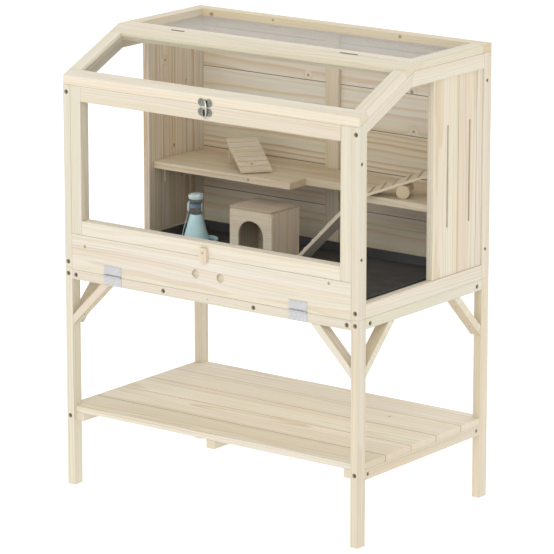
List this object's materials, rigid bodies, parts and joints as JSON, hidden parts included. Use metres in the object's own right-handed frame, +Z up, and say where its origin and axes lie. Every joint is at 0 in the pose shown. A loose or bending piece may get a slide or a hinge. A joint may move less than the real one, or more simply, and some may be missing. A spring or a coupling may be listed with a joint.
{
  "type": "hamster cage",
  "caption": "Wooden hamster cage on a legged stand with a shelf, a sloped window door, a mesh lid and a front flap.",
  "frame": {"origin": "middle of the base of the bounding box, at floor level under the stand", "axes": "+Z up, -Y out of the front with the window and the flap, +X to the viewer's right seen from the front"},
  "size_m": [1, 0.62, 1.276],
  "materials": {
    "stand_wood": "bare planed softwood",
    "shelf_wood": "bare planed softwood",
    "frame_wood": "bare planed softwood",
    "panel_wood": "bare planed softwood",
    "door_wood": "bare planed softwood",
    "inner_wood": "bare planed softwood",
    "clear_acrylic": "clear",
    "wire_mesh": "galvanised wire",
    "hinge_steel": "zinc plated",
    "clasp_steel": "nickel plated",
    "black_plastic": "satin moulded",
    "blue_plastic": "gloss moulded"
  },
  "bodies": {
    "root": {"leg_front_left": "stand_wood", "leg_front_right": "stand_wood", "leg_rear_left": "stand_wood", "leg_rear_right": "stand_wood", "stand_rail_front": "stand_wood", "stand_rail_rear": "stand_wood", "stand_rail_left": "stand_wood", "stand_rail_right": "stand_wood", "brace_front_left": "stand_wood", "brace_front_right": "stand_wood", "brace_left_front": "stand_wood", "brace_left_rear": "stand_wood", "brace_right_front": "stand_wood", "brace_right_rear": "stand_wood", "shelf_plank_1": "shelf_wood", "shelf_plank_2": "shelf_wood", "shelf_plank_3": "shelf_wood", "shelf_plank_4": "shelf_wood", "shelf_plank_5": "shelf_wood", "shelf_batten_left": "shelf_wood", "shelf_batten_middle": "shelf_wood", "shelf_batten_right": "shelf_wood", "shelf_rail_left": "shelf_wood", "shelf_rail_right": "shelf_wood", "post_front_left": "frame_wood", "post_front_right": "frame_wood", "post_rear_left": "frame_wood", "post_rear_right": "frame_wood", "side_rail_low_left": "frame_wood", "side_rail_low_right": "frame_wood", "side_rail_slope_left": "frame_wood", "side_rail_slope_right": "frame_wood", "side_rail_top_left": "frame_wood", "side_rail_top_right": "frame_wood", "lid_frame": "frame_wood", "window_frame": "frame_wood", "side_panel_left": "panel_wood", "side_panel_right": "panel_wood", "back_wall": "inner_wood", "floor_panel": "inner_wood", "platform": "inner_wood", "platform_ramp": "inner_wood", "climbing_ramp": "inner_wood", "seesaw_log": "inner_wood", "hut": "inner_wood", "side_window_left": "clear_acrylic", "side_window_right": "clear_acrylic", "window_pane": "clear_acrylic", "lid_mesh": "wire_mesh", "flap_hinge_left": "hinge_steel", "flap_hinge_right": "hinge_steel", "clasp_keeper": "clasp_steel", "tray": "black_plastic", "water_dispenser": "blue_plastic"},
    "roof_door": {"roof_door_frame": "door_wood", "roof_door_pane": "clear_acrylic"},
    "flap": {"flap": "door_wood"},
    "turn_button": {"turn_button": "door_wood"},
    "clasp_hasp": {"clasp_hasp": "clasp_steel"},
    "seesaw": {"seesaw_board": "inner_wood"}
  },
  "joints": [
    {"name": "roof_door_hinge", "type": "hinge", "parent": "root", "child": "roof_door", "pos_m": [0, -0.057, 1.276], "axis": [-1, 0, 0], "range_deg": [0, 150]},
    {"name": "flap_hinge", "type": "hinge", "parent": "root", "child": "flap", "pos_m": [0, -0.3035, 0.6219], "axis": [1, 0, 0], "range_deg": [0, 180]},
    {"name": "turn_button_spin", "type": "hinge", "parent": "root", "child": "turn_button", "pos_m": [-0.01, -0.3, 0.7365], "axis": [0, -1, 0], "range_deg": [-90, 90]},
    {"name": "clasp_hasp_hinge", "type": "hinge", "parent": "roof_door", "child": "clasp_hasp", "pos_m": [-0.006, -0.3036, 1.152], "axis": [-1, 0, 0], "range_deg": [0, 120]},
    {"name": "seesaw_rock", "type": "hinge", "parent": "root", "child": "seesaw", "pos_m": [0.356, 0.113, 0.8851], "axis": [-0.4337, 0.9011, 0], "range_deg": [0, 39.8]}
  ]
}
